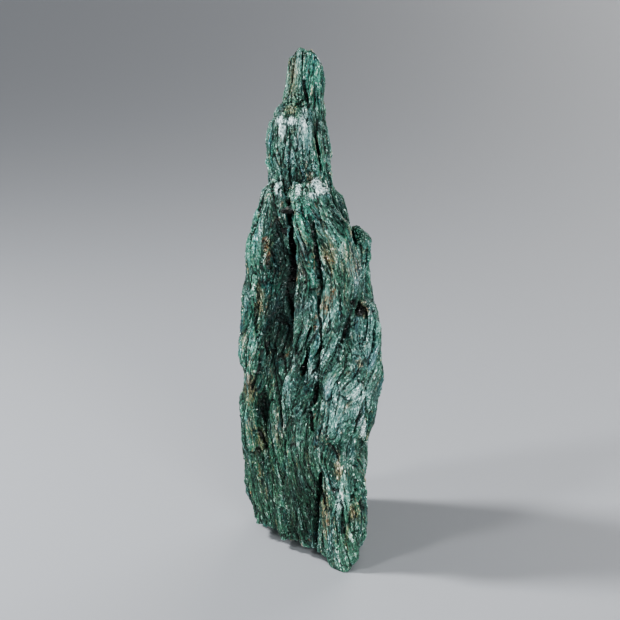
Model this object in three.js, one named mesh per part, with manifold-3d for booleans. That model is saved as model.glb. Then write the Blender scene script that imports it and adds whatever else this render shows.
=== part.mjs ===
// A free-standing tower of raw fuchsite: green chromium-mica schist, broken out of the rock as one piece.
// Its foliation runs upwards, so the stone has split into long lobes that lie side by side, with dark clefts
// between them. A thick slab-like body carries a slender spire, and stands on a flat broken foot.
// Millimetres, +Z up. +X is to the right, and +Y to the back, of someone who faces the foot's sharp edge.

import * as THREE from "three";
import { mergeVertices } from "three/addons/utils/BufferGeometryUtils.js";
import { ImprovedNoise } from "three/addons/math/ImprovedNoise.js";
import Module from "manifold-3d";

// ---- Driving dimensions ----

const HEIGHT = 260; // foot to tip
const COLUMN_STEP = 6; // width of a facet, across the foliation
const ROW_STEP = 8.4; // height of a facet, along the foliation
const MIN_COLUMNS = 8; // facets round the thinnest blade
const MIN_ROWS = 5;
const CROWN = 0.25; // how far below the top a crown's row lies, in rows

// Lumps and strands, which every surface shares: how far they stand out, and how long one is each way.
const LUMP = { height: 3.4, across: 17, along: 38 };
const STRAND = { height: 2.2, across: 10, along: 44 };
const RELIEF_FREE_HEIGHT = 6; // the relief fades out above the foot within this height

// ---- The body: plan outlines, each read anticlockwise from the sharp front edge ----

const BODY_OUTLINES = [
  { z: 0, points: [[17, -49], [24, -30], [30, 8], [24, 36], [4, 49], [-13, 41], [-22, 13], [-7, -17]] },
  { z: 10, points: [[18, -48], [26, -29], [30, 8], [25, 36], [4, 48], [-18, 41], [-33, 11], [-11, -19]] },
  { z: 20, points: [[18, -47], [27, -28], [30, 7], [25, 35], [4, 48], [-20, 40], [-35.2, 10], [-13, -20]] },
  { z: 46, points: [[17, -43], [24, -26], [27, 6], [25, 33], [4, 47], [-21, 40], [-34, 9], [-15, -22]] },
  { z: 80, points: [[16, -39], [27, -25], [30, 4], [27, 32], [3, 45], [-22, 38], [-33, 6], [-15, -22]] },
  { z: 120, points: [[11, -34], [25, -21], [29, 2], [25, 28], [2, 41], [-21, 34], [-32, 4], [-16, -20]] },
  { z: 152, points: [[5, -28], [18, -18], [21, 2], [18, 24], [0, 35], [-19, 28], [-29, 2], [-16, -18]] },
  { z: 182, points: [[-2, -22], [8, -15], [12, 2], [9, 18], [-4, 26], [-15, 21], [-21, 1], [-15, -15]] },
  { z: 195, points: [[-4, -16], [4, -12], [6, 2], [4, 11], [-5, 16], [-12, 13], [-15, 1], [-13, -12]] },
];

// ---- Lobes: stations from the bottom up, each [x, y, z, half width, half depth] ----
// turn is the plan angle of a lobe's width, in degrees from +X. blunt is how square its bottom and its top
// are: 2 tapers like a lens, and 8 breaks off almost flat. crown adds a row of facets, which rounds the top.

const LOBES = {
  tip_left: {
    turn: 0,
    blunt: [5, 8],
    crown: true,
    stations: [
      [-7, 3, 208, 6.5, 6], [-8.8, 2, 228, 7.6, 6.5], [-7.6, 3, 245, 6, 6.5], [-4.9, 4, HEIGHT, 4.2, 5],
    ],
  },
  tip_right: {
    turn: 0,
    blunt: [5, 8],
    crown: true,
    stations: [
      [5, 6, 205, 4, 7], [2, 5, 226, 3.4, 7], [1.2, 5, 242, 5.2, 6.5], [0.6, 5, HEIGHT - 1, 2.5, 4.4],
    ],
  },
  spire_front: {
    turn: -5,
    blunt: [4, 5],
    stations: [
      [-3, 0, 158, 12, 9], [-5, -2, 188, 13.5, 10], [-7, -3, 212, 13.3, 10.5], [-7.4, -1, 239, 10, 9],
    ],
  },
  spire_ridge: {
    turn: 15,
    blunt: [3, 4],
    stations: [[12, 14, 140, 7, 11], [7.5, 12, 178, 5.5, 11], [4, 10, 206, 4.8, 10], [1.5, 8, 236, 4, 7]],
  },
  spire_buttress: {
    turn: 60,
    blunt: [3, 3],
    stations: [[14, 17, 120, 12, 8], [13, 17, 154, 10, 6.5], [11, 14, 190, 6, 4.5]],
  },
  spire_back: {
    turn: 8,
    blunt: [3, 3],
    stations: [[-5, 18, 140, 13, 11], [-5, 15, 186, 10, 9], [-3, 10, 230, 6, 5]],
  },
  left_wall: {
    turn: 60,
    blunt: [2.5, 6],
    stations: [
      [-25, -8, 60, 12, 8], [-25, -9, 110, 14, 8], [-23, -9, 152, 13, 8], [-16.5, -8, 198, 10, 7],
    ],
  },
  left_lens: {
    turn: 66,
    blunt: [2, 2],
    stations: [[-23, -6, 30, 9, 4.5], [-30.6, -6, 70, 12, 5.5], [-27, -6, 102, 9, 4]],
  },
  centre_ridge: {
    turn: 30,
    blunt: [2.5, 6],
    stations: [[-3, -28, 74, 6, 7], [-2, -29, 122, 8, 9], [-2, -25, 158, 7.5, 9], [-5, -16, 193, 6, 7]],
  },
  front_lobe: {
    turn: 18,
    blunt: [2.5, 5],
    stations: [
      [11, -27, 96, 9, 8], [13, -27, 134, 11, 9], [12.5, -23, 160, 10.5, 9], [8, -14, 190, 5, 7],
    ],
  },
  right_shoulder: {
    turn: 78,
    blunt: [3, 7],
    stations: [[19, -2, 104, 11, 8], [23.4, -2, 142, 14, 8.7], [24, -7, 172, 11, 8.8]],
  },
  right_bulge: {
    turn: 70,
    blunt: [2.6, 5],
    stations: [
      [23, -1, 42, 13, 7], [26.4, -5, 80, 18, 8.4], [27.8, -9, 108, 17, 9], [26.8, -11, 136, 11, 7.6],
    ],
  },
  leaning_lobe: {
    turn: 22,
    blunt: [6, 2.5],
    stations: [
      [13, -34, 62, 11, 9], [16, -34, 82, 13, 10.5], [16, -30, 108, 12.5, 10], [12, -25, 142, 8, 7],
    ],
  },
  front_column: {
    turn: 25,
    blunt: [8, 4],
    stations: [
      [16, -37, -4, 7, 10], [16, -33, 16, 11.5, 14], [17.8, -31, 40, 11.3, 12], [17.4, -29, 68, 9, 9],
    ],
  },
  left_foot: {
    turn: -55,
    blunt: [6, 2.2],
    stations: [[-13, -5, -8, 22, 8], [-16.5, -5, 24, 26, 9], [-18, -5, 80, 22, 8]],
  },
  back_left: {
    turn: 115,
    blunt: [5, 3],
    stations: [[-20, 30, 10, 14, 8], [-22, 27, 66, 18, 9], [-20, 23, 118, 15, 9], [-14, 17, 178, 9, 6]],
  },
  back_ridge: {
    turn: 10,
    blunt: [6, 3],
    stations: [[5, 42, -4, 12, 8], [3, 39, 52, 13, 9], [1, 34, 104, 12, 9], [-1, 24, 166, 8, 7]],
  },
  back_right: {
    turn: 70,
    blunt: [5, 6],
    stations: [[24, 26, -4, 15, 7], [21.5, 23, 50, 17, 7.5], [22, 18, 96, 15, 8], [16, 14, 146, 10, 7]],
  },
  ledge_right: {
    turn: 15,
    blunt: [3, 3],
    stations: [[4, -16, 172, 6, 6], [4.5, -14, 186, 7, 7], [3.5, -12, 197, 5, 5]],
  },
  ledge_left: {
    turn: -20,
    blunt: [3, 3],
    stations: [[-15, -13, 172, 6, 5], [-15, -12, 185, 7, 6], [-14.5, -11, 196, 5, 5]],
  },
};

// ---- Hollows and clefts, cut out of the body and its lobes: stations as for a lobe ----

const HOLLOWS = {
  front_hollow: {
    turn: 35,
    blunt: [2.2, 2.5],
    stations: [[-13, -32, 88, 4, 6], [-16, -26, 134, 7.5, 10], [-14, -21, 184, 4, 7]],
  },
  shoulder_notch: {
    turn: 40,
    blunt: [2.5, 2.5],
    stations: [[30, -26, 108, 3, 6], [29, -24, 125, 5, 9], [28, -20, 140, 2, 5]],
  },
  back_hollow: {
    turn: -15,
    blunt: [2.5, 2.5],
    stations: [[-9, 50, 60, 3, 5], [-9, 46, 100, 6, 8], [-8, 38, 146, 3, 5]],
  },
};

const CLEFTS = {
  beside_centre_ridge: {
    turn: 0,
    blunt: [3, 3],
    stations: [[-8.6, -32, 108, 1.2, 7], [-8.4, -29, 150, 1.7, 9], [-9, -22, 192, 1.2, 6]],
  },
  beside_front_lobe: {
    turn: 0,
    blunt: [3, 3],
    stations: [[5, -36, 118, 1, 6], [4, -33, 152, 1.3, 8], [1, -24, 186, 1, 6]],
  },
  spire_split: {
    turn: -10,
    blunt: [3, 3],
    stations: [[8, -6, 182, 0.9, 7], [4.5, -8, 212, 0.9, 7.5], [-1.6, -6, 246, 0.7, 5]],
  },
  foot_split: {
    turn: 5,
    blunt: [4, 3],
    stations: [[3, -40, -6, 1.3, 9], [4, -38, 28, 1.2, 8], [6, -36, 56, 0.9, 6]],
  },
  middle_long: {
    turn: 20,
    blunt: [3, 3],
    stations: [[2, -42, 60, 1.3, 6], [3, -39, 94, 2, 8], [7, -36, 128, 1.2, 6]],
  },
  middle_short: {
    turn: 20,
    blunt: [3, 3],
    stations: [[-4, -38, 82, 1.2, 6], [-2, -37, 104, 1.7, 7], [0, -35, 124, 1, 5]],
  },
  right_edge: {
    turn: 40,
    blunt: [3, 3],
    stations: [[25, -37, 50, 1.2, 5], [27, -35, 68, 1.6, 6], [29, -30, 88, 1, 5]],
  },
  back_split_left: {
    turn: 20,
    blunt: [3, 3],
    stations: [[-13, 46, 14, 1.4, 6], [-12, 45, 60, 1.8, 8], [-10, 40, 104, 1.2, 6]],
  },
  back_split_right: {
    turn: -25,
    blunt: [3, 3],
    stations: [[16, 44, 30, 1.4, 7], [15, 41, 84, 2, 9], [11, 33, 142, 1.2, 6]],
  },
  left_split: {
    turn: 0,
    blunt: [3, 3],
    stations: [[-35, 14, 26, 6, 1.3], [-36, 11, 84, 7, 1.9], [-31, 8, 152, 6, 1.2]],
  },
  right_split: {
    turn: 0,
    blunt: [3, 3],
    stations: [[34, 12, 30, 6, 1.3], [34, 13, 80, 8, 2], [26, 12, 136, 6, 1.2]],
  },
};

// The foot's front left edge stands clear of the ground: two long, low arches, one behind the other.
const FOOT_ARCHES = [
  { x: -6, y: -21, turn: -53, halfLength: 27, halfWidth: 9, height: 6.5 },
  { x: -21, y: -4, turn: -48, halfLength: 19, halfWidth: 11, height: 9 },
];

// ---- Surface relief ----

const noise = new ImprovedNoise();

// How far a surface point moves outwards: broad lumps, and sharp-backed strands that follow the foliation.
function relief(x, y, z) {
  const lump = noise.noise(x / LUMP.across, y / LUMP.across, z / LUMP.along + 7.3);
  const strand = noise.noise(x / STRAND.across + 3.1, y / STRAND.across + 8.6, z / STRAND.along);
  const fade = THREE.MathUtils.smoothstep(z, 0, RELIEF_FREE_HEIGHT);
  return fade * (LUMP.height * lump + STRAND.height * (1 - 4 * Math.abs(strand)));
}

// ---- Solids ----

const wasm = await Module();
wasm.setup();

// A closed three.js geometry as a solid.
function solidOf(geometry) {
  const bare = geometry.clone();
  bare.deleteAttribute("normal");
  bare.deleteAttribute("uv");
  const merged = mergeVertices(bare, 1e-4);
  const mesh = new wasm.Mesh({
    numProp: 3,
    vertProperties: merged.attributes.position.array,
    triVerts: new Uint32Array(merged.index.array),
  });
  return new wasm.Manifold(mesh);
}

// Turns a unit lathe, of radius 1 and height 1, into a closed solid. place(angle, radius, height) gives each
// of its points.
function latheSolid(profile, columns, place) {
  const geometry = new THREE.LatheGeometry(profile, columns);
  const position = geometry.attributes.position;
  const point = new THREE.Vector3();
  for (let i = 0; i < position.count; i++) {
    point.fromBufferAttribute(position, i);
    const radius = Math.hypot(point.x, point.z);
    const column = Math.round((Math.atan2(point.x, point.z) / (2 * Math.PI)) * columns) % columns;
    const placed = place((2 * Math.PI * column) / columns, radius, point.y);
    position.setXYZ(i, placed.x, placed.y, placed.z);
  }
  return solidOf(geometry);
}

// A smooth value at t, from 0 to 1, through evenly spaced stations.
function along(stations, t, read) {
  const curve = new THREE.CatmullRomCurve3(stations.map(read), false, "catmullrom", 0.5);
  return curve.getPoint(THREE.MathUtils.clamp(t, 0, 1));
}

// A lobe, a blade or a hollow: an upright, leaning ellipse section that closes roundly at both ends.
function lobe({ turn, blunt, crown, stations }, reliefShare = 1) {
  const length = stations.at(-1)[2] - stations[0][2];
  const [, , , halfWidth, halfDepth] = stations[1];
  const rows = Math.max(MIN_ROWS, Math.round(length / ROW_STEP));
  const columns = Math.max(MIN_COLUMNS, Math.round((Math.PI * (halfWidth + halfDepth)) / COLUMN_STEP));
  const steps = Array.from({ length: rows + 1 }, (_, i) => i / rows);
  if (crown) steps.splice(rows, 0, 1 - CROWN / rows);
  const profile = steps.map((t) => {
    const squareness = t < 0.5 ? blunt[0] : blunt[1];
    const radius = t === 0 || t === 1 ? 0 : Math.sqrt(1 - Math.abs(2 * t - 1) ** squareness);
    return new THREE.Vector2(radius, t);
  });
  const width = THREE.MathUtils.degToRad(turn);
  return latheSolid(profile, columns, (angle, radius, t) => {
    const centre = along(stations, t, ([x, y, z]) => new THREE.Vector3(x, y, z));
    const girth = along(stations, t, ([, , , w, d]) => new THREE.Vector3(w, d, 0));
    const across = radius * girth.x * Math.cos(angle);
    const deep = radius * girth.y * Math.sin(angle);
    const out = new THREE.Vector3(
      across * Math.cos(width) - deep * Math.sin(width),
      across * Math.sin(width) + deep * Math.cos(width),
      0,
    );
    const surface = centre.clone().add(out);
    const push = reliefShare * relief(surface.x, surface.y, surface.z) * Math.min(1, 2 * radius);
    return surface.add(out.setLength(push * Math.sign(radius)));
  });
}

// The body: a loft through the plan outlines, with a flat foot and a flat top.
function body() {
  const top = BODY_OUTLINES.at(-1).z;
  const rows = Math.round(top / ROW_STEP);
  const outlines = BODY_OUTLINES.map(({ points }) => {
    const corners = points.map(([x, y]) => new THREE.Vector3(x, y, 0));
    return new THREE.CatmullRomCurve3(corners, true, "catmullrom", 0.5);
  });
  const columns = Math.round(outlines[0].getLength() / COLUMN_STEP);
  const profile = [new THREE.Vector2(0, 0)];
  for (let i = 0; i <= rows; i++) profile.push(new THREE.Vector2(1, i / rows));
  profile.push(new THREE.Vector2(0, 1));
  return latheSolid(profile, columns, (angle, radius, t) => {
    const z = t * top;
    const upper = Math.min(BODY_OUTLINES.length - 1, 1 + BODY_OUTLINES.findLastIndex((o) => o.z <= z));
    const lower = upper - 1;
    const share = (z - BODY_OUTLINES[lower].z) / (BODY_OUTLINES[upper].z - BODY_OUTLINES[lower].z);
    const at = (u) => outlines[lower].getPoint(u).lerp(outlines[upper].getPoint(u), share).setZ(z);
    const surface = at(angle / (2 * Math.PI));
    const centre = at(0).lerp(at(0.5), 0.5);
    const out = surface.clone().sub(centre).normalize();
    surface.addScaledVector(out, relief(surface.x, surface.y, z));
    return centre.lerp(surface, radius);
  });
}

function footArch({ x, y, turn, halfLength, halfWidth, height }) {
  const geometry = new THREE.SphereGeometry(1, 20, 12);
  geometry.scale(halfLength, halfWidth, height);
  geometry.rotateZ(THREE.MathUtils.degToRad(turn));
  geometry.translate(x, y, 0);
  return solidOf(geometry);
}

// Everything below the ground.
function ground() {
  const geometry = new THREE.BoxGeometry(200, 200, 40);
  geometry.translate(0, 0, -20);
  return solidOf(geometry);
}

function stoneSolid() {
  let stone = body();
  for (const spec of Object.values(LOBES)) stone = stone.add(lobe(spec));
  for (const spec of Object.values(HOLLOWS)) stone = stone.subtract(lobe(spec));
  for (const spec of Object.values(CLEFTS)) stone = stone.subtract(lobe(spec, 0));
  for (const spec of FOOT_ARCHES) stone = stone.subtract(footArch(spec));
  return stone.subtract(ground());
}

// ---- The part ----

function geometryOf(solid) {
  const { numProp, numVert, vertProperties, triVerts } = solid.getMesh();
  const vertices = new Float32Array(numVert * 3);
  for (let i = 0; i < numVert; i++) {
    const start = i * numProp;
    vertices.set(vertProperties.subarray(start, start + 3), i * 3);
  }
  const geometry = new THREE.BufferGeometry();
  geometry.setAttribute("position", new THREE.BufferAttribute(vertices, 3));
  geometry.setIndex(new THREE.BufferAttribute(triVerts, 1));
  geometry.computeVertexNormals();
  return geometry;
}

const fuchsite = new THREE.MeshStandardMaterial({ color: 0x2f6b58, roughness: 0.55, metalness: 0 });
const geometry = geometryOf(stoneSolid());
geometry.computeBoundingBox();
const middle = geometry.boundingBox.getCenter(new THREE.Vector3());
geometry.translate(-middle.x, -middle.y, 0); // its outline in plan is centred on the origin

const stone = new THREE.Mesh(geometry, fuchsite);
stone.name = "fuchsite_stone";

const part = new THREE.Group();
part.add(stone);

export default part;
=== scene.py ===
"""A free-standing tower of raw fuchsite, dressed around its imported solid.

The stone's own mesh starts as a fine copy of the solid. Lens-shaped strands, cracks and lumps are raised
on it in grain coordinates, which lean and narrow with the stone. Thin mica flakes, cleaved loose, lie on
top. Stone and flakes carry their own map, so that their patterns bake sharply.
Shape tables are in millimetres in the row frame, tables of cracks and patches are in pixels of the
photograph's frame, and the meshes are in metres.
"""

import math

import bmesh
import bpy
import numpy as np
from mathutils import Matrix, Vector


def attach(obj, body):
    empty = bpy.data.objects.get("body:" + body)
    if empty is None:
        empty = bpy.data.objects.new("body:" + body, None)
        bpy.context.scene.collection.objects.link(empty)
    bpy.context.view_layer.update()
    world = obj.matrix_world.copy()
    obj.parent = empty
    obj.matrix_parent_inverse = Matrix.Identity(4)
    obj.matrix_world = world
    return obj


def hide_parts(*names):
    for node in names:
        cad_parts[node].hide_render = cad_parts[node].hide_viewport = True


STONE_NODE = "fuchsite_stone"
MM = 0.001

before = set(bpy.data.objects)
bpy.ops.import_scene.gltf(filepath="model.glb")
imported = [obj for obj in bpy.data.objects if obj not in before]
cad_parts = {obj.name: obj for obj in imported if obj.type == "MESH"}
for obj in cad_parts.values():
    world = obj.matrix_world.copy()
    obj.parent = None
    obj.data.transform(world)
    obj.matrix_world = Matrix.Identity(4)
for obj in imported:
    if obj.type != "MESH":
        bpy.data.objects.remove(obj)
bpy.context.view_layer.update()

# ---- Sizes in mm, and settings ----

CELL_ACROSS = 0.52  # the fine mesh's cell, across the foliation
CELL_STRETCH = 2.0  # how much longer the cell is, along the foliation
MOST_TRIANGLES = 198000
FOOT_FADE = 2.5  # relief fades out over this height above the ground
FACET_SOFTENING = 14  # smoothing steps that melt the solid's facets
NORMAL_SOFTENING = 12  # smoothing steps for the direction that relief is raised in
CLEFT_REACH = 30  # smoothing steps that find the clefts
CLEFT_DEPTH = 1.2  # a cleft this deep is a full one
CLEFT_CALM = 0.7  # the most relief that a cleft loses, as a share
HOLLOW_REACH = 18  # smoothing steps that find hollows, where shade is painted
PIT_REACH = 2  # smoothing steps that find pits, where shade is painted
RELIEF_SINK = 0.3  # brings the strands' mean height back to the solid's surface
FINE_SINK = 0.2  # and that of the finest strands
FULL_SPLIT = 2.5  # the depth at which a crack of CRACKS counts as a full one, with full painted shade
FACING_GAIN = 2.5  # how soon a surface that turns to the camera counts as seen
SEEN_WITHOUT = 0.9  # how much of the patches from noise a seen surface does without

# Strands in three sizes. scale is a strand's width, depth and length, bulge is how high its middle
# stands, step is how far one strand may stand above the next, lean tilts its face, and sharp is how wide
# the crack round it is, as a share of its width.
BIG_STRANDS = {
    "scale": (6.4, 6.4, 38), "seed": 20, "bulge": 0.4, "step": 0.9, "lean": 0.9, "sharp": 0.12,
}
SMALL_STRANDS = {
    "scale": (2.5, 2.5, 13), "seed": 40, "bulge": 0.4, "step": 0.5, "lean": 0.4, "sharp": 0.1,
}
FINE_STRANDS = {
    "scale": (1.05, 1.05, 3.6), "seed": 80, "bulge": 0.2, "step": 0.3, "lean": 0.25, "sharp": 0.1,
}
# Long open grooves along the grain, where a noise crosses zero: (scale, seed, how close to zero).
WIDE_GROOVES = ((7.5, 7.5, 60), 64, 0.10)
THIN_GROOVES = ((3.2, 3.2, 30), 66, 0.11)
# How deep each kind is cut.
BIG_CRACK_DEPTH = 0.9
WIDE_GROOVE_DEPTH = 1.8
THIN_GROOVE_DEPTH = 0.8
# How much of the small strands pale and teal patches lose, and of the big cracks pale ones, as shares.
PALE_CALM = 0.6
TEAL_CALM = 0.4
PALE_CLOSED = 0.55
# Lumps that cross the grain: height, size across, size along, seed.
LUMPS = [(0.7, 11, 22, 60), (0.3, 4.5, 10, 61)]
# Noise that varies the relief from place to place:
# (size across, size along, seed, middle level, gain, least, most).
UNEVEN = {
    "small_strands": (13, 30, 62, 0.75, 0.9, 0.25, 1.3),
    "big_cracks": (9, 20, 63, 0.25, 1.3, 0, 1),
    "wide_grooves": (10, 24, 65, 0.3, 1.5, 0, 1),
    "thin_grooves": (6, 15, 67, 0.4, 1.5, 0, 1),
    "small_cracks": (5, 9, 68, 0.5, 1.0, 0, 1),
}

FLAKE_SHEETS = 3  # the loose mica flakes are shared out over so many meshes
FLAKES_A_SHEET = 16000
FLAKE_SEED = 300
FLAKE_LENGTH = (0.5, 1.6)
FLAKE_SHORTNESS = 2.2  # above 1, most flakes are short ones
FLAKE_SLENDERNESS = (0.4, 0.9)  # width as a share of length
FLAKE_WIDTH = (0.3, 0.8)
FLAKE_THICKNESS = (0.04, 0.08)
FLAKE_STANDING = (0.0, 0.1)  # how far a flake's middle stands off the stone
FLAKE_CORNERS = (0.8, 1.1)  # how far out a corner lies, as a share of the half width
FLAKE_ROLL, FLAKE_PITCH, FLAKE_TURN = 20, 12, 18  # usual tilt from the strand's own run, in degrees
FLAKE_GROUND = (0.3, 1.5)  # the lowest that a flake's corner comes, and the lowest that a flake is set
FLAKE_TINT_SHIFT = 9  # how far off a flake may take its tint from the stone's pattern
# A flake has six corners, 0 to 5, and a middle above and below, 6 and 7.
FLAKE_TRIANGLES = [((n + 1) % 6, n, 7) for n in range(6)] + [(n, (n + 1) % 6, 6) for n in range(6)]
FLAKE_POINTS = 8

BAKE_MAP = "OFBake"  # the name of the map that patterns are baked through
MAP_LEAN = 0.6  # how far a ledge's depth counts as height on the map
MAP_SEAM = 0.01  # room left beside the map's seam
MAP_SMOOTHING = 260  # steps
MAP_SIDES = (0.10, 0.89)  # where the sides start on the map, and the height that they take
MAP_FOOT = (0.5, 0.045)  # where the foot's middle lies on the map
MAP_FOOT_SCALE = (220, 1000)  # mm of foot to the map's width and to its height
MAP_FLAKE = 0.32  # a flake's half width in its own square

# ---- The photograph's camera: where each point of the stone shows in its 620 by 620 frame ----

FRAME_PIXELS = 620
FOCAL_PIXELS = 1650
CAMERA_PLACE = np.array([-0.1, -819.93, 359.03])
CAMERA_PITCH = math.radians(15.9436)  # below level

# The stone's middle line and half width, by height. The grain narrows and leans with them.
GRAIN_HEIGHTS = [0, 30, 56, 80, 105, 130, 150, 168, 185, 205, 230, 260]
GRAIN_MIDDLE_X = [3, -2, -5, -3, 1, 4, 3, -1, -6, -7, -5, -3]
GRAIN_HALF_X = [27, 31, 31, 35, 37, 34, 32, 28, 20, 15, 11, 8]
GRAIN_HALF_Y = [50, 48, 46, 44, 40, 37, 34, 28, 22, 16, 11, 8]
GRAIN_NARROWING = 0.6  # 0 keeps strands upright, 1 makes them follow the outline fully
GRAIN_WIDTH = 33
# Slow bends of the strands and quick ones: (how far, size across, size along, two seeds).
GRAIN_SWAY = (4.2, 26, 42, 11, 12)
GRAIN_WAVE = (0.8, 9, 24, 13, 14)

# Where strands lean more:
# (pixel across, pixel down, half width, half height, slope to the right, height in mm).
LEANS = [
    (320, 365, 60, 110, 0.20, 100),
    (258, 430, 34, 70, -0.18, 68),
]
LEANS_BACK_TO = 10  # strands further back, along y, don't lean

# Cracks that show in the photograph: depth in mm, and (pixel across, pixel down, width in pixels) along
# each.
# Each is cut into the stone and also painted dark as shade.
CRACKS = {
    "spire_split": (
        1.6,
        [
            (303, 50, 0.8), (302, 69, 1.0), (305, 92, 1.3),
            (310, 108, 1.2), (317, 144, 1.2), (323.5, 186, 1.5),
        ],
    ),
    "spire_groove": (0.5, [(290, 130, 1.5), (289, 150, 1.5), (291, 185, 2)]),
    "spire_band": (0.8, [(296, 152, 3), (298, 180, 3)]),
    "hollow_crevice": (
        5.0,
        [
            (288, 200, 1.5), (289, 224, 2), (294, 242, 3), (292, 262, 4),
            (288, 292, 3), (291, 309, 2), (292, 324, 1.5),
        ],
    ),
    "ridge_crevice": (
        1.5,
        [(310, 214, 1.3), (313, 232, 1.6), (318, 263, 1.7), (320, 280, 1.5), (322, 298, 1.2)],
    ),
    "wall_edge": (1.2, [(264, 222, 1.5), (263, 246, 2), (258, 290, 2), (256, 320, 2), (259, 350, 1.5)]),
    "middle_left": (2.0, [(311, 328, 1.0), (307, 343, 1.5), (304, 358, 1.5), (302, 374, 1.0)]),
    "middle_right": (
        1.7,
        [(321, 318, 1.0), (320, 345, 1.4), (319, 364, 1.4), (316, 388, 1.4), (315, 404, 1.0)],
    ),
    "shoulder_top": (1.8, [(350, 227, 2), (355, 242, 1.5)]),
    "shoulder_slab": (1.5, [(368, 250, 1.2), (368, 292, 1.2)]),
    "cavity": (2.6, [(356, 303, 4), (360, 309, 5), (361, 313, 4)]),
    "below_cavity": (1.8, [(354, 312, 2.5), (350, 327, 3), (343, 341, 2)]),
    "lobe_fold": (1.2, [(341, 346, 2), (338, 362, 2)]),
    "left_low_a": (1.6, [(263, 350, 1.5), (260, 370, 2), (252, 389, 1.5)]),
    "left_low_b": (1.6, [(272, 350, 1.5), (276, 388, 1.8), (279, 406, 2), (281, 426, 1.5)]),
    "left_low_c": (1.4, [(260, 400, 1.2), (258, 424, 1.5), (264, 443, 1.5), (269, 458, 1.2)]),
    "centre_pit": (2.0, [(311, 412, 1.5), (312, 430, 2)]),
    "lobe_edge": (1.0, [(319, 424, 1.0), (324, 436, 1.4), (332, 448, 1.6), (338, 460, 1.4)]),
    "column_split": (
        0.3,
        [(319, 462, 2), (322, 477, 1.8), (321, 498, 1.5), (320, 524, 1.5), (316, 540, 1.5)],
    ),
    "right_wedge": (2.4, [(366, 398, 1.2), (361, 419, 2.5), (355, 438, 2.5)]),
    "right_notch": (1.5, [(362, 450, 2), (357, 466, 2)]),
    "column_groove": (1.0, [(356, 490, 1.5), (350, 508, 1.5), (348, 524, 1.5)]),
}

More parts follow.
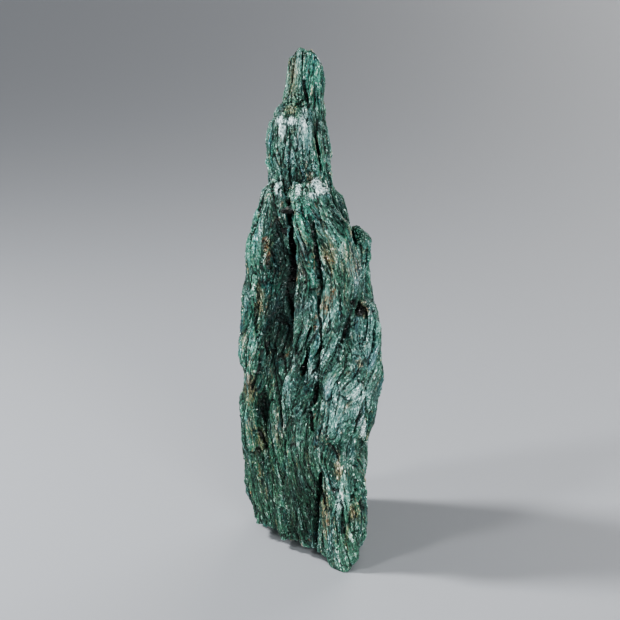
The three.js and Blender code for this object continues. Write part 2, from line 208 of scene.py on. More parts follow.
# Patches of colour that show in the photograph:
# (pixel across, pixel down, half width, half height, share).
PATCHES = {
    "white": [
        (280, 121, 3, 4, 0.9), (283, 130, 3, 6, 0.85), (291, 121, 6, 3.5, 0.85), (304, 122, 3, 12, 0.6),
        (278, 189, 3, 6, 0.85), (298, 190, 2.5, 5, 0.85), (317, 184, 5, 5, 0.95),
        (322, 190, 6, 4, 0.95), (313, 195, 4, 3, 0.8), (363, 427, 3, 9, 0.6), (313, 374, 4, 6, 0.5),
        (340, 502, 4, 12, 0.35), (358, 396, 9, 16, 0.15), (336, 404, 10, 15, 0.2),
    ],
    "tan": [
        (292, 74, 7, 28, 0.55), (290, 110, 9, 6, 0.55), (310, 178, 3, 6, 0.6), (267, 250, 5, 14, 0.6),
        (281, 204, 5, 5, 0.4), (280, 216, 9, 10, 0.35), (260, 297, 4, 22, 0.7), (329, 255, 8, 16, 0.7),
        (325, 304, 9, 12, 0.6), (331, 292, 6, 6, 0.4), (318, 318, 4, 8, 0.35), (362, 309, 7, 9, 0.7),
        (288, 347, 5, 9, 0.25), (361, 362, 4, 6, 0.7), (325, 508, 6, 30, 0.5), (338, 470, 5, 10, 0.8),
        (353, 513, 6, 9, 0.8), (262, 440, 6, 14, 0.7), (249, 388, 7, 18, 0.7), (245, 340, 5, 16, 0.5),
        (299, 262, 7, 30, 0.3), (279, 425, 6, 22, 0.5), (251, 425, 5, 18, 0.5), (320, 440, 5, 18, 0.45),
        (351, 262, 12, 26, 0.45), (313, 455, 7, 22, 0.25), (283, 500, 12, 20, 0.15),
    ],
    # pale: partly the stone's own pale grey-teal zones, partly painted light that brightens the shoulder,
    # the front lobe and the rusty ridge
    "pale": [
        (334, 408, 14, 26, 0.6), (358, 396, 11, 18, 0.6), (372, 340, 8, 32, 0.45),
        (332, 343, 10, 26, 0.2), (306, 128, 8, 20, 0.7), (345, 495, 9, 20, 0.75), (313, 372, 6, 12, 0.7),
        (300, 430, 9, 12, 0.15), (290, 395, 9, 16, 0.35), (330, 245, 12, 32, 0.35),
        (358, 270, 10, 24, 0.42), (322, 268, 6, 20, 0.5), (325, 304, 11, 16, 1.0),
        (290, 156, 11, 18, 0.35), (365, 340, 12, 26, 0.6), (292, 76, 8, 26, 0.45),
    ],
    "teal": [
        (252, 231, 8, 32, 0.8), (246, 336, 8, 34, 0.5), (302, 216, 13, 18, 0.9), (313, 75, 9, 26, 1.0),
        (269, 146, 4, 26, 0.9), (314, 262, 6, 34, 0.9), (321, 160, 6, 24, 0.6), (346, 238, 14, 12, 0.6),
        (272, 286, 10, 10, 0.6), (370, 262, 6, 26, 0.6), (372, 336, 9, 34, 0.5),
        (246, 420, 6, 30, 0.15),
    ],
    "rust": [
        (335, 292, 3, 4, 0.9), (330, 299, 3, 4, 1.0), (324, 307, 3, 5, 1.0), (319, 316, 2.5, 6, 1.0),
        (315, 326, 2, 6, 0.8), (266, 243, 3, 7, 1.0), (268, 257, 4, 8, 0.9), (281, 204, 4, 3, 0.7),
        (310, 182, 3, 5, 0.7), (286, 350, 4, 7, 0.5), (261, 297, 4, 12, 0.5), (327, 368, 2, 5, 0.6),
        (345, 456, 4, 7, 0.6), (323, 502, 3, 14, 0.25), (354, 512, 4, 10, 0.35), (362, 310, 6, 6, 0.6),
        (327, 530, 4, 12, 0.5), (305, 262, 4, 20, 0.4), (258, 470, 4, 14, 0.3), (329, 252, 5, 12, 0.5),
    ],
    "moss": [
        (285, 495, 38, 52, 1.0), (262, 420, 18, 40, 0.8), (330, 262, 16, 32, 0.5),
        (350, 520, 16, 44, 0.6), (300, 420, 16, 36, 0.4), (292, 100, 10, 24, 0.5),
    ],
    # dark: painted shade in the hollow, behind the shoulder, in the clefts, on the left wall and over the
    # lower body
    "dark": [
        (280, 262, 10, 36, 1.1), (337, 210, 7, 16, 1.0), (343, 224, 5, 9, 1.0), (354, 302, 8, 9, 0.9),
        (318, 235, 4, 26, 0.6), (277, 332, 14, 36, 1.15), (305, 340, 13, 34, 0.4),
        (338, 345, 13, 26, 0.3), (302, 302, 11, 26, 0.7), (306, 305, 7, 18, 1.0),
        (345, 449, 15, 12, 0.65), (309, 450, 11, 28, 0.6), (349, 330, 8, 18, 0.6),
        (300, 345, 7, 28, 0.6), (300, 500, 19, 52, 1.0), (272, 505, 16, 28, 0.5),
        (297, 410, 14, 34, 0.62), (262, 402, 13, 32, 0.75), (252, 240, 8, 32, 0.25),
    ],
}
PATCH_TAPER = 1.6  # how sharply a patch ends
PATCH_FALL = 0.7  # half of it is left at its half width

# Patches elsewhere come from noise: (size across, size along, level above which it shows, gain, seed).
OTHER_PATCHES = {
    "white": (7, 11, 0.60, 4.0, 201),
    "tan": (8, 24, 0.20, 1.6, 202),
    "pale": (15, 34, 0.14, 1.7, 203),
    "teal": (17, 46, 0.10, 1.3, 204),
    "dark": (14, 40, 0.20, 1.6, 205),
    "rust": (5, 12, 0.34, 2.4, 206),
    "moss": (24, 50, 0.05, 1.4, 207),
}


def interpolate_height(z, values):
    return np.interp(z, GRAIN_HEIGHTS, values)


def photo_pixels(points):
    """Where points, in mm, show in the photograph: (pixels across, pixels down)."""
    away = points - CAMERA_PLACE
    forward = away[:, 1] * math.cos(CAMERA_PITCH) - away[:, 2] * math.sin(CAMERA_PITCH)
    up = away[:, 1] * math.sin(CAMERA_PITCH) + away[:, 2] * math.cos(CAMERA_PITCH)
    across = FRAME_PIXELS / 2 + FOCAL_PIXELS * away[:, 0] / forward
    down = FRAME_PIXELS / 2 - FOCAL_PIXELS * up / forward
    return np.stack([across, down], 1)


def line_share(pixels, line):
    """1 on a line of (across, down, width) points, falling to 0 beside it."""
    share = np.zeros(len(pixels))
    for (ax, ay, a_width), (bx, by, b_width) in zip(line, line[1:]):
        run = np.array([bx - ax, by - ay], float)
        t = np.clip(((pixels - (ax, ay)) @ run) / (run @ run), 0, 1)
        off = pixels - (ax, ay) - t[:, None] * run
        width = a_width + t * (b_width - a_width)
        share = np.maximum(share, np.exp(-(off * off).sum(1) / (width * width)))
    return share


def patch_share(pixels, patches):
    """1 inside the patches, falling to 0 round them."""
    share = np.zeros(len(pixels))
    for across, down, half_width, half_height, strength in patches:
        off = (pixels - (across, down)) / (half_width, half_height)
        fall = np.exp(-((off * off).sum(1) ** PATCH_TAPER) * PATCH_FALL)
        share = np.maximum(share, strength * fall)
    return share


# ---- Noise ----

NOISE_GAIN = 1.7  # spreads the sum of eight slopes over about -1 to 1
CELL_MARGIN = 0.05  # how far a cell's seat keeps from its border
CELL_ROOM = 0.9  # what the margins leave for it


def hashed(i, j, k, seed):
    """A fixed random number from 0 to 1 for each whole-numbered cell."""
    with np.errstate(over="ignore"):
        h = i.astype(np.uint32) * np.uint32(73856093)
        h ^= j.astype(np.uint32) * np.uint32(19349663)
        h ^= k.astype(np.uint32) * np.uint32(83492791)
        h ^= np.uint32((seed * 2654435761) & 0xFFFFFFFF)
        for shift, factor in ((16, 0x7FEB352D), (15, 0x846CA68B)):
            h ^= h >> np.uint32(shift)
            h *= np.uint32(factor)
        h ^= h >> np.uint32(16)
    return h / 4294967296.0


def noise(points, scale, seed):
    """Smooth noise from -1 to 1. scale is the size of one lump along x, y and z."""
    p = points / np.asarray(scale, float)
    base = np.floor(p)
    f = p - base
    cell = base.astype(np.int64)
    ease = f * f * f * (f * (f * 6 - 15) + 10)
    total = np.zeros(len(p))
    for dx in (0, 1):
        for dy in (0, 1):
            for dz in (0, 1):
                corner = cell + (dx, dy, dz)
                angle = 2 * math.pi * hashed(*corner.T, seed)
                up = 2 * hashed(*corner.T, seed + 101) - 1
                flat = np.sqrt(1 - up * up)
                away = f - (dx, dy, dz)
                slope = away[:, 0] * flat * np.cos(angle) + away[:, 1] * flat * np.sin(angle)
                slope += away[:, 2] * up
                share = np.where(dx, ease[:, 0], 1 - ease[:, 0])
                share = share * np.where(dy, ease[:, 1], 1 - ease[:, 1])
                share = share * np.where(dz, ease[:, 2], 1 - ease[:, 2])
                total += share * slope
    return total * NOISE_GAIN


def cells(points, scale, seed):
    """Cells of uneven size: (room to the nearest crack, cell number 0 to 1, place in the cell)."""
    p = points / np.asarray(scale, float)
    base = np.floor(p).astype(np.int64)
    nearest = np.full(len(p), 9.0)
    second = np.full(len(p), 9.0)
    number = np.zeros(len(p))
    place = np.zeros((len(p), 3))
    for dx in (-1, 0, 1):
        for dy in (-1, 0, 1):
            for dz in (-1, 0, 1):
                cell = base + (dx, dy, dz)
                seat = np.stack([hashed(*cell.T, seed + n) for n in (1, 2, 3)], 1)
                seat = seat * CELL_ROOM + CELL_MARGIN
                away = p - cell - seat
                far = np.sqrt((away * away).sum(1))
                closer = far < nearest
                second = np.where(closer, nearest, np.minimum(second, far))
                nearest = np.where(closer, far, nearest)
                number = np.where(closer, hashed(*cell.T, seed + 4), number)
                place = np.where(closer[:, None], away, place)
    return second - nearest, number, place


# ---- The grain ----


def grain_narrowing(z):
    """How much closer together the strands lie at each height, along x and y."""
    narrow_x = (GRAIN_WIDTH / interpolate_height(z, GRAIN_HALF_X)) ** GRAIN_NARROWING
    narrow_y = (GRAIN_WIDTH / interpolate_height(z, GRAIN_HALF_Y)) ** GRAIN_NARROWING
    return np.stack([narrow_x, narrow_y], 1)


def grain(points):
    """Where a point lies in the foliation: strands run along z here, and are as wide everywhere."""
    x, y, z = points.T
    plan = np.stack([x - interpolate_height(z, GRAIN_MIDDLE_X), y], 1) * grain_narrowing(z)
    pixels = photo_pixels(points)
    for across, down, half_width, half_height, slope, height in LEANS:
        off = (pixels - (across, down)) / (half_width, half_height)
        plan[:, 0] -= slope * (z - height) * np.exp(-(off * off).sum(1)) * (y < LEANS_BACK_TO)
    for reach, across, along, *seeds in (GRAIN_SWAY, GRAIN_WAVE):
        bend = [noise(points, (across, across, along), seed) for seed in seeds]
        plan = plan + reach * np.stack(bend, 1)
    return np.column_stack([plan, z])


def strand_direction(points):
    """Which way the strand at each point runs, upwards."""
    step = 2.0
    shift = grain(points + (0, 0, step)) - grain(points)
    run = np.column_stack([-shift[:, :2] / grain_narrowing(points[:, 2]), np.full(len(points), step)])
    return run / np.linalg.norm(run, axis=1, keepdims=True)


# ---- Mesh tools ----


def vertex_normals(co, quads):
    a, b, c, d = (co[quads[:, n]] for n in range(4))
    face = np.cross(c - a, d - b)
    normals = np.zeros_like(co)
    for n in range(4):
        for axis in range(3):
            normals[:, axis] += np.bincount(quads[:, n], face[:, axis], len(co))
    return normals / np.maximum(np.linalg.norm(normals, axis=1, keepdims=True), 1e-12)


def smoothed(values, edges, steps, share=0.5):
    """values, averaged with their neighbours' steps times."""
    count = len(values)
    ends = np.concatenate([edges[:, 0], edges[:, 1]])
    others = np.concatenate([edges[:, 1], edges[:, 0]])
    degree = np.maximum(np.bincount(ends, minlength=count), 1)
    columns = values.reshape(count, -1).astype(float)
    for _ in range(steps):
        mean = np.stack([np.bincount(ends, column[others], count) / degree for column in columns.T], 1)
        columns += share * (mean - columns)
    return columns.reshape(values.shape)


def hollow_depth(co, normals, edges, steps):
    """How far each point lies below its surroundings, in mm."""
    return ((smoothed(co, edges, steps) - co) * normals).sum(1)


def fine_copy():
    """The solid as one even mesh of small quads: (points in mm, quads, edges)."""
    bm = bmesh.new()
    bm.from_mesh(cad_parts[STONE_NODE].data)
    bmesh.ops.remove_doubles(bm, verts=bm.verts, dist=1e-6)
    for vert in bm.verts:
        vert.co.z /= CELL_STRETCH
    mesh = bpy.data.meshes.new("fine")
    bm.to_mesh(mesh)
    bm.free()
    carrier = bpy.data.objects.new("fine", mesh)
    bpy.context.scene.collection.objects.link(carrier)
    remesh = carrier.modifiers.new("even", "REMESH")
    remesh.mode = "VOXEL"
    remesh.voxel_size = CELL_ACROSS * MM
    made = carrier.evaluated_get(bpy.context.evaluated_depsgraph_get()).to_mesh()
    co = np.zeros(len(made.vertices) * 3, np.float32)
    made.vertices.foreach_get("co", co)
    quads = np.zeros(len(made.loops), np.int32)
    made.loops.foreach_get("vertex_index", quads)
    edges = np.zeros(len(made.edges) * 2, np.int32)
    made.edges.foreach_get("vertices", edges)
    bpy.data.objects.remove(carrier)
    co = co.reshape(-1, 3).astype(float) / MM
    co[:, 2] *= CELL_STRETCH
    return co, quads.reshape(-1, 4), edges.reshape(-1, 2)


def mesh_object(name, co, faces, attributes):
    mesh = bpy.data.meshes.new(name)
    mesh.vertices.add(len(co))
    mesh.vertices.foreach_set("co", (co * MM).ravel().astype(np.float32))
    mesh.loops.add(faces.size)
    mesh.loops.foreach_set("vertex_index", faces.ravel())
    mesh.polygons.add(len(faces))
    mesh.polygons.foreach_set("loop_start", np.arange(0, faces.size, faces.shape[1]))
    mesh.update(calc_edges=True)
    for key, values in attributes.items():
        if values.ndim == 2:
            layer = mesh.attributes.new(key, "FLOAT_VECTOR", "POINT")
            layer.data.foreach_set("vector", values.ravel().astype(np.float32))
        else:
            layer = mesh.attributes.new(key, "FLOAT", "POINT")
            layer.data.foreach_set("value", values.astype(np.float32))
    mesh.validate()
    made = bpy.data.objects.new(name, mesh)
    bpy.context.scene.collection.objects.link(made)
    return made


def thinned(made, most):
    """The same object with at most so many triangles, fewest where it is flat."""
    triangles = sum(len(face.vertices) - 2 for face in made.data.polygons)
    thin = made.modifiers.new("thin", "DECIMATE")
    thin.ratio = most / triangles
    mesh = bpy.data.meshes.new_from_object(made.evaluated_get(bpy.context.evaluated_depsgraph_get()))
    made.modifiers.clear()
    made.data = mesh
    return made


# ---- Bake maps ----


def lay_map(made, places):
    """Gives the object the bake's map, from a place between 0 and 1 for each corner of its faces."""
    layer = made.data.uv_layers.new(name=BAKE_MAP)
    layer.uv.foreach_set("vector", places.ravel().astype(np.float32))


def wrapped_map(made):
    """Wraps the map round the stone's smoothed shape, with its seam behind and the foot's strip below."""
    mesh = made.data
    place = np.zeros(len(mesh.vertices) * 3, np.float32)
    mesh.attributes["smooth_place"].data.foreach_get("vector", place)
    co = np.zeros(len(mesh.vertices) * 3, np.float32)
    mesh.vertices.foreach_get("co", co)
    corner = np.zeros(len(mesh.loops), np.int32)
    mesh.loops.foreach_get("vertex_index", corner)
    start = np.zeros(len(mesh.polygons), np.int32)
    mesh.polygons.foreach_get("loop_start", start)
    face = np.repeat(np.arange(len(start)), np.diff(np.append(start, len(corner))))
    x, y, z = place.reshape(-1, 3)[corner].T
    x = x - interpolate_height(z, GRAIN_MIDDLE_X)
    turn = np.arctan2(x, -y) / (2 * math.pi)
    turn += np.round(turn[start][face] - turn)
    rise = z - MAP_LEAN * np.hypot(x, y)
    across = np.clip(0.5 + turn * (1 - 4 * MAP_SEAM), MAP_SEAM, 1 - MAP_SEAM)
    sides_start, sides_height = MAP_SIDES
    along = sides_start + sides_height * (rise - rise.min()) / np.ptp(rise)
    foot = np.maximum.reduceat(co.reshape(-1, 3)[corner, 2], start)[face] < 0.5 * MM
    flat = co.reshape(-1, 3)[corner] / MM
    across = np.where(foot, MAP_FOOT[0] + flat[:, 1] / MAP_FOOT_SCALE[0], across)
    along = np.where(foot, MAP_FOOT[1] + flat[:, 0] / MAP_FOOT_SCALE[1], along)
    lay_map(made, np.stack([across, along], 1))


def flake_map(made, count):
    """Gives each flake a square of the map to itself. Its top and underside share it."""
    squares = math.ceil(math.sqrt(count))
    number = np.arange(count)
    middle = np.stack([number % squares, number // squares], 1) + 0.5
    angle = np.radians(60 * np.arange(6) + 30)
    outline = MAP_FLAKE * np.stack([np.cos(angle), np.sin(angle)], 1)
    spots = np.vstack([outline, [(0, 0), (0, 0)]])
    corners = middle[:, None, None] + spots[np.array(FLAKE_TRIANGLES)][None].reshape(1, -1, 1, 2)
    lay_map(made, corners.reshape(-1, 2) / squares)


# ---- The stone's relief ----


def uneven(points, kind):
    """How strong one kind of relief is at each point."""
    across, along, seed, middle, gain, least, most = UNEVEN[kind]
    return np.clip(middle + gain * noise(points, (across, across, along), seed), least, most)


def strands(grained, scale, seed, bulge, step, lean, sharp):
    """Lens-shaped strands: (height in mm, closeness to a crack 0 to 1, strand number 0 to 1)."""
    room, number, place = cells(grained, scale, seed)
    crack = np.exp(-room / sharp)
    # Two more random numbers for each strand.
    other = np.modf(number * 57.31)[0]
    third = np.modf(number * 91.77)[0]
    tilt = place[:, 0] * (other - 0.5) + place[:, 1] * (third - 0.5)
    tilt += 0.8 * place[:, 2] * (number - 0.5)
    height = bulge * (1 - np.exp(-room / (1.6 * sharp))) + step * (number - 0.5) + 2 * lean * tilt
    return height, crack, number


def grooves(grained, scale, seed, width):
    """Long open grooves along the grain: 1 at the bottom of one, 0 away from it."""
    return np.exp(-np.abs(noise(grained, scale, seed)) / width)


def cracks_and_patches(co, normals):
    """From the photograph: (depth of cracks in mm, strength of each kind of patch, how much is seen)."""
    pixels = photo_pixels(co)
    to_camera = CAMERA_PLACE - co
    to_camera /= np.linalg.norm(to_camera, axis=1, keepdims=True)
    faces_camera = np.clip((to_camera * normals).sum(1) * FACING_GAIN, 0, 1)
    cracks = np.zeros(len(co))
    for depth, line in CRACKS.values():
        cracks = np.maximum(cracks, depth * line_share(pixels, line))
    patches = {kind: faces_camera * patch_share(pixels, places) for kind, places in PATCHES.items()}
    return cracks * faces_camera, patches, faces_camera


def raise_relief(co, quads, edges):
    """Pushes the smooth copy out into strands and cracks: (points, attributes)."""
    soft = smoothed(co, edges, FACET_SOFTENING)
    co = 2 * soft - smoothed(soft, edges, FACET_SOFTENING)
    grained = grain(co)
    normals = smoothed(vertex_normals(co, quads), edges, NORMAL_SOFTENING)
    normals /= np.linalg.norm(normals, axis=1, keepdims=True)
    cleft = hollow_depth(co, normals, edges, CLEFT_REACH) / CLEFT_DEPTH
    open_share = 1 - np.clip(cleft, 0, CLEFT_CALM)
    rise = np.clip(co[:, 2] / FOOT_FADE, 0, 1)
    fade = rise * rise * (3 - 2 * rise) * open_share
    cracks, patches, faces_camera = cracks_and_patches(co, normals)
    pale = patches["pale"]

    rough = uneven(co, "small_strands") * (1 - PALE_CALM * pale) * (1 - TEAL_CALM * patches["teal"])
    big, big_crack, big_number = strands(grained, **BIG_STRANDS)
    small, small_crack, small_number = strands(grained, **SMALL_STRANDS)
    big_crack = big_crack * uneven(co, "big_cracks") * (1 - PALE_CLOSED * pale)
    wide_groove = grooves(grained, *WIDE_GROOVES) * uneven(co, "wide_grooves")
    thin_groove = grooves(grained, *THIN_GROOVES) * uneven(co, "thin_grooves")
    lumps = 0
    for height, across, along, seed in LUMPS:
        lumps = lumps + height * noise(co, (across, across, along), seed)
    cut = BIG_CRACK_DEPTH * big_crack + WIDE_GROOVE_DEPTH * wide_groove
    cut = cut + THIN_GROOVE_DEPTH * rough * thin_groove
    relief = big + rough * small + lumps - cut - RELIEF_SINK
    co = co + normals * (fade * relief - cracks)[:, None]
    big_crack = np.maximum(big_crack, wide_groove)
    small_crack = np.maximum(small_crack * uneven(co, "small_cracks"), thin_groove)
    normals = vertex_normals(co, quads)
    fine, _, fine_number = strands(grained, **FINE_STRANDS)
    co = co + normals * (rise * (fine - FINE_SINK))[:, None]
    co[:, 2] = np.maximum(co[:, 2], 0)
    normals = vertex_normals(co, quads)
    # Cracks, splits, pits and hollows are kept for the painted shade in the material.
    attributes = {
        "smooth_place": smoothed(soft, edges, MAP_SMOOTHING),
        "grain": grained,
        "big_crack": big_crack,
        "big_number": big_number,
        "small_crack": small_crack,
        "small_number": small_number,
        "fine_number": fine_number,
        "split": np.clip(cracks / FULL_SPLIT, 0, 1),
        "pit": hollow_depth(co, normals, edges, PIT_REACH),
        "hollow": hollow_depth(co, normals, edges, HOLLOW_REACH),
    }
    for kind, shown in patches.items():
        across, along, level, gain, seed = OTHER_PATCHES[kind]
        elsewhere = np.clip((noise(co, (across, across, along), seed) - level) * gain, 0, 1)
        attributes[kind] = shown + (1 - SEEN_WITHOUT * faces_camera) * elsewhere
    return co, attributes


# ---- Loose mica flakes ----


def turned(first, second, angle):
    """Two square-on directions, turned together by an angle."""
    return first * np.cos(angle) + second * np.sin(angle), second * np.cos(angle) - first * np.sin(angle)


def mica_flakes(name, co, quads, attributes, count, seed):
    """Thin closed six-sided plates that lie along the strands and half sink into the stone."""
    random = np.random.default_rng(seed)
    lowest_corner, lowest_seat = FLAKE_GROUND
    a, b, c, d = (co[quads[:, n]] for n in range(4))
    face = np.cross(c - a, d - b)
    area = np.linalg.norm(face, axis=1) * ((a[:, 2] > lowest_seat) & (c[:, 2] > lowest_seat))
    chosen = random.choice(len(quads), count, p=area / area.sum())
    seat = (a + b + c + d)[chosen] / 4
    out = face[chosen] / np.linalg.norm(face[chosen], axis=1, keepdims=True)
    along = strand_direction(seat)
    along -= (along * out).sum(1, keepdims=True) * out
    along /= np.linalg.norm(along, axis=1, keepdims=True)
    across = np.cross(along, out)
    roll = random.normal(0, math.radians(FLAKE_ROLL), count)[:, None]
    pitch = random.normal(0, math.radians(FLAKE_PITCH), count)[:, None]
    turn = random.normal(0, math.radians(FLAKE_TURN), count)[:, None]
    along, across = turned(along, across, turn)
    across, up = turned(across, out, roll)
    along, up = turned(along, up, pitch)
    least, most = FLAKE_LENGTH
    length = (least + (most - least) * random.random(count) ** FLAKE_SHORTNESS)[:, None]
    width = np.clip(length * random.uniform(*FLAKE_SLENDERNESS, (count, 1)), *FLAKE_WIDTH)
    thickness = random.uniform(*FLAKE_THICKNESS, (count, 1))
    middle = seat + out * random.uniform(*FLAKE_STANDING, (count, 1))
    corners = []
    for n in range(6):
        angle = math.radians(60 * n + 30)
        reach = random.uniform(*FLAKE_CORNERS, (count, 1)) / 2
        corner = across * width * math.cos(angle) + along * length * math.sin(angle)
        corners.append(middle + reach * corner)
    points = np.stack([*corners, middle + up * thickness / 2, middle - up * thickness / 2], 1)
    points[:, :, 2] = np.maximum(points[:, :, 2], lowest_corner)
    faces = (np.arange(count)[:, None, None] * FLAKE_POINTS + np.array(FLAKE_TRIANGLES)).reshape(-1, 3)
    vertex = quads[chosen, 0]
    own = {key: np.repeat(values[vertex], FLAKE_POINTS, axis=0) for key, values in attributes.items()}
    shift = random.uniform(-FLAKE_TINT_SHIFT, FLAKE_TINT_SHIFT, (count, 1, 3))
    own["grain"] = own["grain"] + shift.repeat(FLAKE_POINTS, 1).reshape(-1, 3)
    own["flake_number"] = np.repeat(random.random(count), FLAKE_POINTS)
    own["pit"] = own["pit"] * 0
    del own["smooth_place"]
    made = mesh_object(name, points.reshape(-1, 3), faces, own)
    flake_map(made, count)
    return made


# ---- Materials ----


class Recipe:
    """A material's nodes, written as calls. Each call gives the socket that the next one reads."""

    def __init__(self, name):
        self.material = bpy.data.materials.new(name)
        self.material.use_nodes = True
        self.tree = self.material.node_tree
        self.shader = self.tree.nodes["Principled BSDF"]

    def feed(self, socket, value):
        if isinstance(value, bpy.types.NodeSocket):
            self.tree.links.new(value, socket)
        else:
            socket.default_value = value

    def node(self, kind, inputs, **settings):
        made = self.tree.nodes.new(kind)
        for key, value in settings.items():
            setattr(made, key, value)
        for key, value in inputs.items():
            self.feed(made.inputs[key], value)
        return made

    def number(self, name):
        return self.node("ShaderNodeAttribute", {}, attribute_name=name).outputs["Fac"]

    def vector(self, name):
        return self.node("ShaderNodeAttribute", {}, attribute_name=name).outputs["Vector"]

    def math(self, operation, a, b=0.0, c=0.0):
        return self.node("ShaderNodeMath", {0: a, 1: b, 2: c}, operation=operation).outputs[0]

    def vector_math(self, operation, *inputs):
        return self.node("ShaderNodeVectorMath", dict(enumerate(inputs)), operation=operation).outputs[0]

    def span(self, value, low, high, to_low=0.0, to_high=1.0):
        inputs = {"Value": value, "From Min": low, "From Max": high, "To Min": to_low, "To Max": to_high}
        return self.node("ShaderNodeMapRange", inputs).outputs[0]

    def stretched(self, place, across, along):
        """place, measured in texture cells of this size in mm."""
        return self.vector_math("MULTIPLY", place, (1 / across, 1 / across, 1 / along))

    def noise(self, place, across, along, detail=2.0):
        inputs = {"Vector": self.stretched(place, across, along), "Scale": 1.0, "Detail": detail}
        return self.node("ShaderNodeTexNoise", inputs).outputs["Fac"]

    def specks(self, place, across, along):
        """Small uneven cells: (a random number for each, a random direction for each)."""
        inputs = {"Vector": self.stretched(place, across, along), "Scale": 1.0}
        colour = self.node("ShaderNodeTexVoronoi", inputs).outputs["Color"]
        return self.node("ShaderNodeSeparateColor", {"Color": colour}).outputs["Red"], colour

    def mix(self, share, a, b, blend="MIX"):
        inputs = {0: share, 6: a, 7: b}
        return self.node("ShaderNodeMix", inputs, data_type="RGBA", blend_type=blend).outputs[2]

    def ramp(self, value, stops):
        made = self.node("ShaderNodeValToRGB", {"Fac": value})
        elements = made.color_ramp.elements
        while len(elements) < len(stops):
            elements.new(0.5)
        for element, (place, colour) in zip(elements, stops):
            element.position = place
            element.color = (*colour, 1)
        return made.outputs["Color"]


# Ramps of colour, from dark to pale tone: (tone, colour).
GREENS = [
    (0.0, (0.0045, 0.018, 0.014)),
    (0.3, (0.013, 0.054, 0.039)),
    (0.52, (0.036, 0.116, 0.080)),
    (0.72, (0.076, 0.210, 0.152)),
    (1.0, (0.22, 0.42, 0.34)),
]
BLUES = [
    (0.0, (0.005, 0.014, 0.016)),
    (0.5, (0.028, 0.096, 0.094)),
    (1.0, (0.15, 0.35, 0.34)),
]
TANS = [
    (0.0, (0.030, 0.027, 0.016)),
    (0.45, (0.150, 0.128, 0.072)),
    (0.8, (0.36, 0.31, 0.18)),
    (1.0, (0.60, 0.54, 0.38)),
]
PALES = [
    (0.0, (0.024, 0.075, 0.064)),
    (0.5, (0.13, 0.30, 0.265)),
    (1.0, (0.42, 0.64, 0.60)),
]
WHITES = [
    (0.0, (0.18, 0.35, 0.33)),
    (0.5, (0.48, 0.64, 0.62)),
    (1.0, (0.80, 0.92, 0.92)),
]
RUST = (0.19, 0.088, 0.036, 1)
# What the colour is multiplied by under each tint.
TEAL_TINT = (0.8, 1.6, 1.55, 1)
MOSS_TINT = (0.86, 1.0, 0.78, 1)
SLATE_TINT = (1.05, 0.92, 1.1, 1)

# Patterns that the recipe draws along the grain: (size across in mm, size along in mm, detail).
DRAWN = {
    "fibre": (0.45, 5.5, 2),
    "blotch": (6, 16, 3),
    "streak": (0.9, 10, 2),
    "long_streak": (2.0, 30, 2),
    "blue_stain": (5, 14, 2),
    "vein": (2.2, 15, 3),
    "rust_stain": (2, 7, 3),
    "slate_stain": (7, 18, 2),
    "hairline": (1.5, 17, 1),
    "ripple": (0.45, 2.4, 3),
}
# Small uneven cells: (size across in mm, size along in mm).
SPECK_SIZE = (0.55, 1.2)
GRIT_SIZE = (0.4, 0.75)

# Sums of patterns, as the share of each. The kinds that DRAWN lacks are carried by the mesh.
TONE_START = -0.58
TONE = {
    "small_number": 0.16, "big_number": 0.14, "fine_number": 0.14, "speck": 0.16,
    "fibre": 0.50, "blotch": 0.35, "streak": 0.38, "long_streak": 0.33,
}
TAN_TONE = 0.1  # tan is taken from a paler place on its ramp than green
TEAL_SHARE = 0.75
RAGGED = {"small_number": 0.35, "speck": 0.4, "streak": 0.9, "fibre": 0.6}
PALE_SCATTER = {"pale": 1.6}
WHITE_SCATTER = {"white": 1.6, "grit": 0.5}
TAN_SCATTER = {"fibre": 0.6, "streak": 0.9, "grit": 0.12, "tan": 0.62}
RUST_SCATTER = {"rust": 0.26}
RIPPLES = {"speck": 0.3, "ripple": 0.6, "grit": 0.25}

# Where each kind of patch starts to show and where it covers, then the shares that it has there.
COVER = {
    "blue": (0.52, 0.68),
    "pale": (1.25, 2.2),
    "tan": (1.06, 1.28, 0.0, 0.85),
    "vein": (0.6, 0.7, 0.0, 0.8),
    "vein_specks": (0.35, 0.6),
    "rust": (0.63, 0.74),
    "rust_grit": (0.2, 0.7, 0.3, 0.85),
    "slate": (0.56, 0.66),
    "white": (1.6, 2.3),
}

# What the colour is multiplied by over the range of each pattern: (kind, low, high, at low, at high).
# Cracks, splits, hollows and dark patches get painted shade; grit and hairlines are the stone's own tone.
SHADES = [
    ("big_crack", 0.15, 0.9, 1.0, 0.16),
    ("small_crack", 0.3, 1.0, 1.0, 0.55),
    ("split", 0.15, 0.8, 1.0, 0.08),
    ("hollow", -0.1, 0.9, 1.1, 0.25),
    ("dark", 0.1, 1.0, 1.0, 0.31),
    ("grit", 0.0, 1.0, 0.68, 1.35),
    # the palest specks get painted glints, partly the stone's own pale grains
    ("speck", 0.95, 0.98, 1.0, 2.2),
    ("hairline", 0.0, 0.035, 0.45, 1.0),
]
FLAKE_SHADES = [("flake_number", 0.0, 1.0, 0.62, 1.38)]
# Painted shade in pits, and a painted highlight on points that stand out.
STONE_SHADES = [("pit", 0.0, 0.12, 1.0, 0.25), ("pit", -0.12, 0.0, 1.6, 1.0)]
RED_SHADE = 1.18  # shade is raised to this power for red, so that the dark is greenish

# The surface, over the range of the pattern that it follows: (low, high, at low, at high).
ROUGHNESS_BY_BLOTCH = (0.3, 0.7, 0.48, 0.66)
SHINE_BY_DARK = (0.1, 1.0, 0.5, 0.37)
GLOSSY_GRIT = (0.78, 0.84)  # a fifth of the grit, with smooth mica faces
GLOSS = 0.34  # how much smoother they are
SPECK_TILT = 0.9  # how far a speck may face away from the surface
RIPPLE_HEIGHT = 0.0005  # in metres
RIPPLE_STRENGTH = 0.8


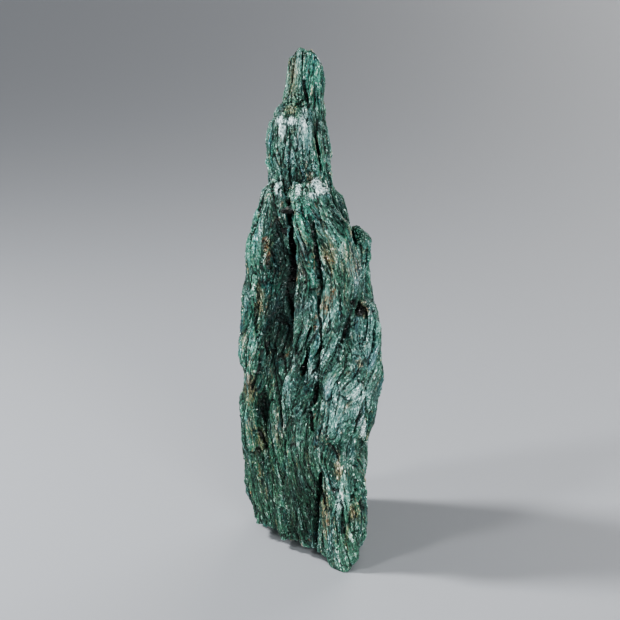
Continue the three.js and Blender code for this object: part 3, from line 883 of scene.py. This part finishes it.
def schist(name, flakes):
    """Green mica schist, for the stone itself or for its loose flakes."""
    r = Recipe(name)
    place = r.vector("grain")
    patterns = {kind: r.noise(place, *size) for kind, size in DRAWN.items()}
    patterns["hairline"] = r.math("ABSOLUTE", r.math("SUBTRACT", patterns["hairline"], 0.5))
    patterns["speck"], direction = r.specks(place, *SPECK_SIZE)
    patterns["grit"], _ = r.specks(place, *GRIT_SIZE)

    def pattern(kind, *span):
        """A pattern that the recipe draws or the mesh carries, over a span if one is given."""
        value = patterns[kind] if kind in patterns else r.number(kind)
        return r.span(value, *span) if span else value

    def total(start, shares):
        for kind, share in shares.items():
            start = r.math("MULTIPLY_ADD", pattern(kind), share, start)
        return start

    tone = total(TONE_START, TONE)
    colour = r.ramp(tone, GREENS)
    # Each kind of patch shows above its own level, broken up by strands, streaks and specks.
    ragged = total(0.0, RAGGED)
    colour = r.mix(pattern("blue_stain", *COVER["blue"]), colour, r.ramp(tone, BLUES))
    colour = r.mix(r.math("MULTIPLY", pattern("teal"), TEAL_SHARE), colour, TEAL_TINT, "MULTIPLY")
    # Pale patches: partly the stone's own pale zones, partly painted light.
    colour = r.mix(r.span(total(ragged, PALE_SCATTER), *COVER["pale"]), colour, r.ramp(tone, PALES))
    tan = r.ramp(r.math("ADD", tone, TAN_TONE), TANS)
    colour = r.mix(r.span(total(0.0, TAN_SCATTER), *COVER["tan"]), colour, tan)
    vein = r.math("MULTIPLY", pattern("vein", *COVER["vein"]), pattern("speck", *COVER["vein_specks"]))
    colour = r.mix(vein, colour, tan)
    rusty = r.span(total(pattern("rust_stain"), RUST_SCATTER), *COVER["rust"])
    rusty = r.math("MULTIPLY", rusty, pattern("grit", *COVER["rust_grit"]))
    colour = r.mix(rusty, colour, RUST)
    colour = r.mix(pattern("moss"), colour, MOSS_TINT, "MULTIPLY")
    colour = r.mix(pattern("slate_stain", *COVER["slate"]), colour, SLATE_TINT, "MULTIPLY")
    colour = r.mix(r.span(total(ragged, WHITE_SCATTER), *COVER["white"]), colour, r.ramp(tone, WHITES))

    # Painted shade in cracks, clefts, hollows, pits and dark patches, painted highlights on raised points
    # and the palest specks, and the stone's own grit and hairlines.
    shade = 1.0
    for kind, *span in SHADES + (FLAKE_SHADES if flakes else STONE_SHADES):
        shade = r.math("MULTIPLY", shade, pattern(kind, *span))
    shades = {"Red": r.math("POWER", shade, RED_SHADE), "Green": shade, "Blue": shade}
    dark = r.node("ShaderNodeCombineColor", shades).outputs[0]
    r.feed(r.shader.inputs["Base Color"], r.mix(1.0, colour, dark, "MULTIPLY"))

    roughness = pattern("blotch", *ROUGHNESS_BY_BLOTCH)
    roughness = r.math("MULTIPLY_ADD", pattern("grit", *GLOSSY_GRIT), -GLOSS, roughness)
    r.feed(r.shader.inputs["Roughness"], roughness)
    r.feed(r.shader.inputs["Specular IOR Level"], pattern("dark", *SHINE_BY_DARK))

    # Mica faces: each speck faces its own way.
    facing = r.vector_math("MULTIPLY_ADD", direction, (SPECK_TILT,) * 3, (-SPECK_TILT / 2,) * 3)
    normal = r.node("ShaderNodeNewGeometry", {}).outputs["Normal"]
    tilted = r.vector_math("NORMALIZE", r.vector_math("ADD", normal, facing))
    inputs = {
        "Height": total(0.0, RIPPLES),
        "Normal": tilted,
        "Strength": RIPPLE_STRENGTH,
        "Distance": RIPPLE_HEIGHT,
    }
    r.feed(r.shader.inputs["Normal"], r.node("ShaderNodeBump", inputs).outputs[0])
    return r.material


# ---- The stone ----

co, quads, edges = fine_copy()
co, attributes = raise_relief(co, quads, edges)
stone = thinned(mesh_object("raw_fuchsite", co, quads, attributes), MOST_TRIANGLES)
stone.data.shade_flat()
wrapped_map(stone)
stone.data.materials.append(schist("fuchsite_schist", flakes=False))
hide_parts(STONE_NODE)
pieces = [stone]
flake_material = schist("mica_flake", flakes=True)
for sheet in range(FLAKE_SHEETS):
    name = f"mica_flakes_{sheet + 1}"
    flakes = mica_flakes(name, co, quads, attributes, FLAKES_A_SHEET, FLAKE_SEED + sheet)
    flakes.data.shade_flat()
    flakes.data.materials.append(flake_material)
    pieces.append(flakes)
for piece in pieces:
    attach(piece, "root")

# ---- Stage ----

FLOOR_HALF = 20.0  # in metres, as everything on the stage
FLOOR_COLOUR = (0.40, 0.415, 0.44, 1)
FLOOR_ROUGHNESS = 0.6
AIR_COLOUR = (0.75, 0.8, 0.88, 1)
AIR_LIGHT = 0.12
# Lamps: (kind, place, aim, power, width of a disk or angle of a sun).
LAMPS = {
    "key": ("AREA", (-0.6, 0.07, 0.72), (0, 0, 0.15), 9.5, 0.16),
    "second": ("SUN", (-0.85, -0.55, 0.9), (0, 0, 0), 0.9, 0.16),
    "front": ("AREA", (0.45, -1.3, 0.28), (0, 0, 0.15), 19, 0.6),
    "back": ("SUN", (0.6, 1.2, 0.45), (0, 0, 0), 1.6, 0.7),
}


def studio_floor():
    """A wide plain pale floor."""
    corners = [(-1, -1), (1, -1), (1, 1), (-1, 1)]
    mesh = bpy.data.meshes.new("floor")
    mesh.from_pydata([(x * FLOOR_HALF, y * FLOOR_HALF, 0) for x, y in corners], [], [(0, 1, 2, 3)])
    made = bpy.data.objects.new("floor", mesh)
    bpy.context.scene.collection.objects.link(made)
    finish = Recipe("pale_floor")
    finish.shader.inputs["Base Color"].default_value = FLOOR_COLOUR
    finish.shader.inputs["Roughness"].default_value = FLOOR_ROUGHNESS
    mesh.materials.append(finish.material)


def lamp(name, kind, place, aim, power, size):
    """A soft area lamp, or a sun."""
    data = bpy.data.lights.new(name, kind)
    data.energy = power
    if kind == "SUN":
        data.angle = size
    else:
        data.shape = "DISK"
        data.size = size
    made = bpy.data.objects.new(name, data)
    made.location = place
    made.rotation_euler = (Vector(aim) - Vector(place)).to_track_quat("-Z", "Y").to_euler()
    made.visible_camera = False
    bpy.context.scene.collection.objects.link(made)


studio_floor()
for lamp_name, settings in LAMPS.items():
    lamp(lamp_name, *settings)
world = bpy.data.worlds.new("studio")
world.use_nodes = True
air = world.node_tree.nodes["Background"]
air.inputs["Color"].default_value = AIR_COLOUR
air.inputs["Strength"].default_value = AIR_LIGHT
bpy.context.scene.world = world
bpy.context.scene.view_settings.look = "AgX - Medium High Contrast"

# ---- Camera ----

SENSOR_WIDTH = 36  # in mm
camera_data = bpy.data.cameras.new("camera")
camera_data.lens = SENSOR_WIDTH * FOCAL_PIXELS / FRAME_PIXELS
camera_data.sensor_width = SENSOR_WIDTH
camera = bpy.data.objects.new("camera", camera_data)
camera.location = CAMERA_PLACE * MM
camera.rotation_euler = (math.radians(90) - CAMERA_PITCH, 0, 0)
bpy.context.scene.collection.objects.link(camera)
bpy.context.scene.camera = camera
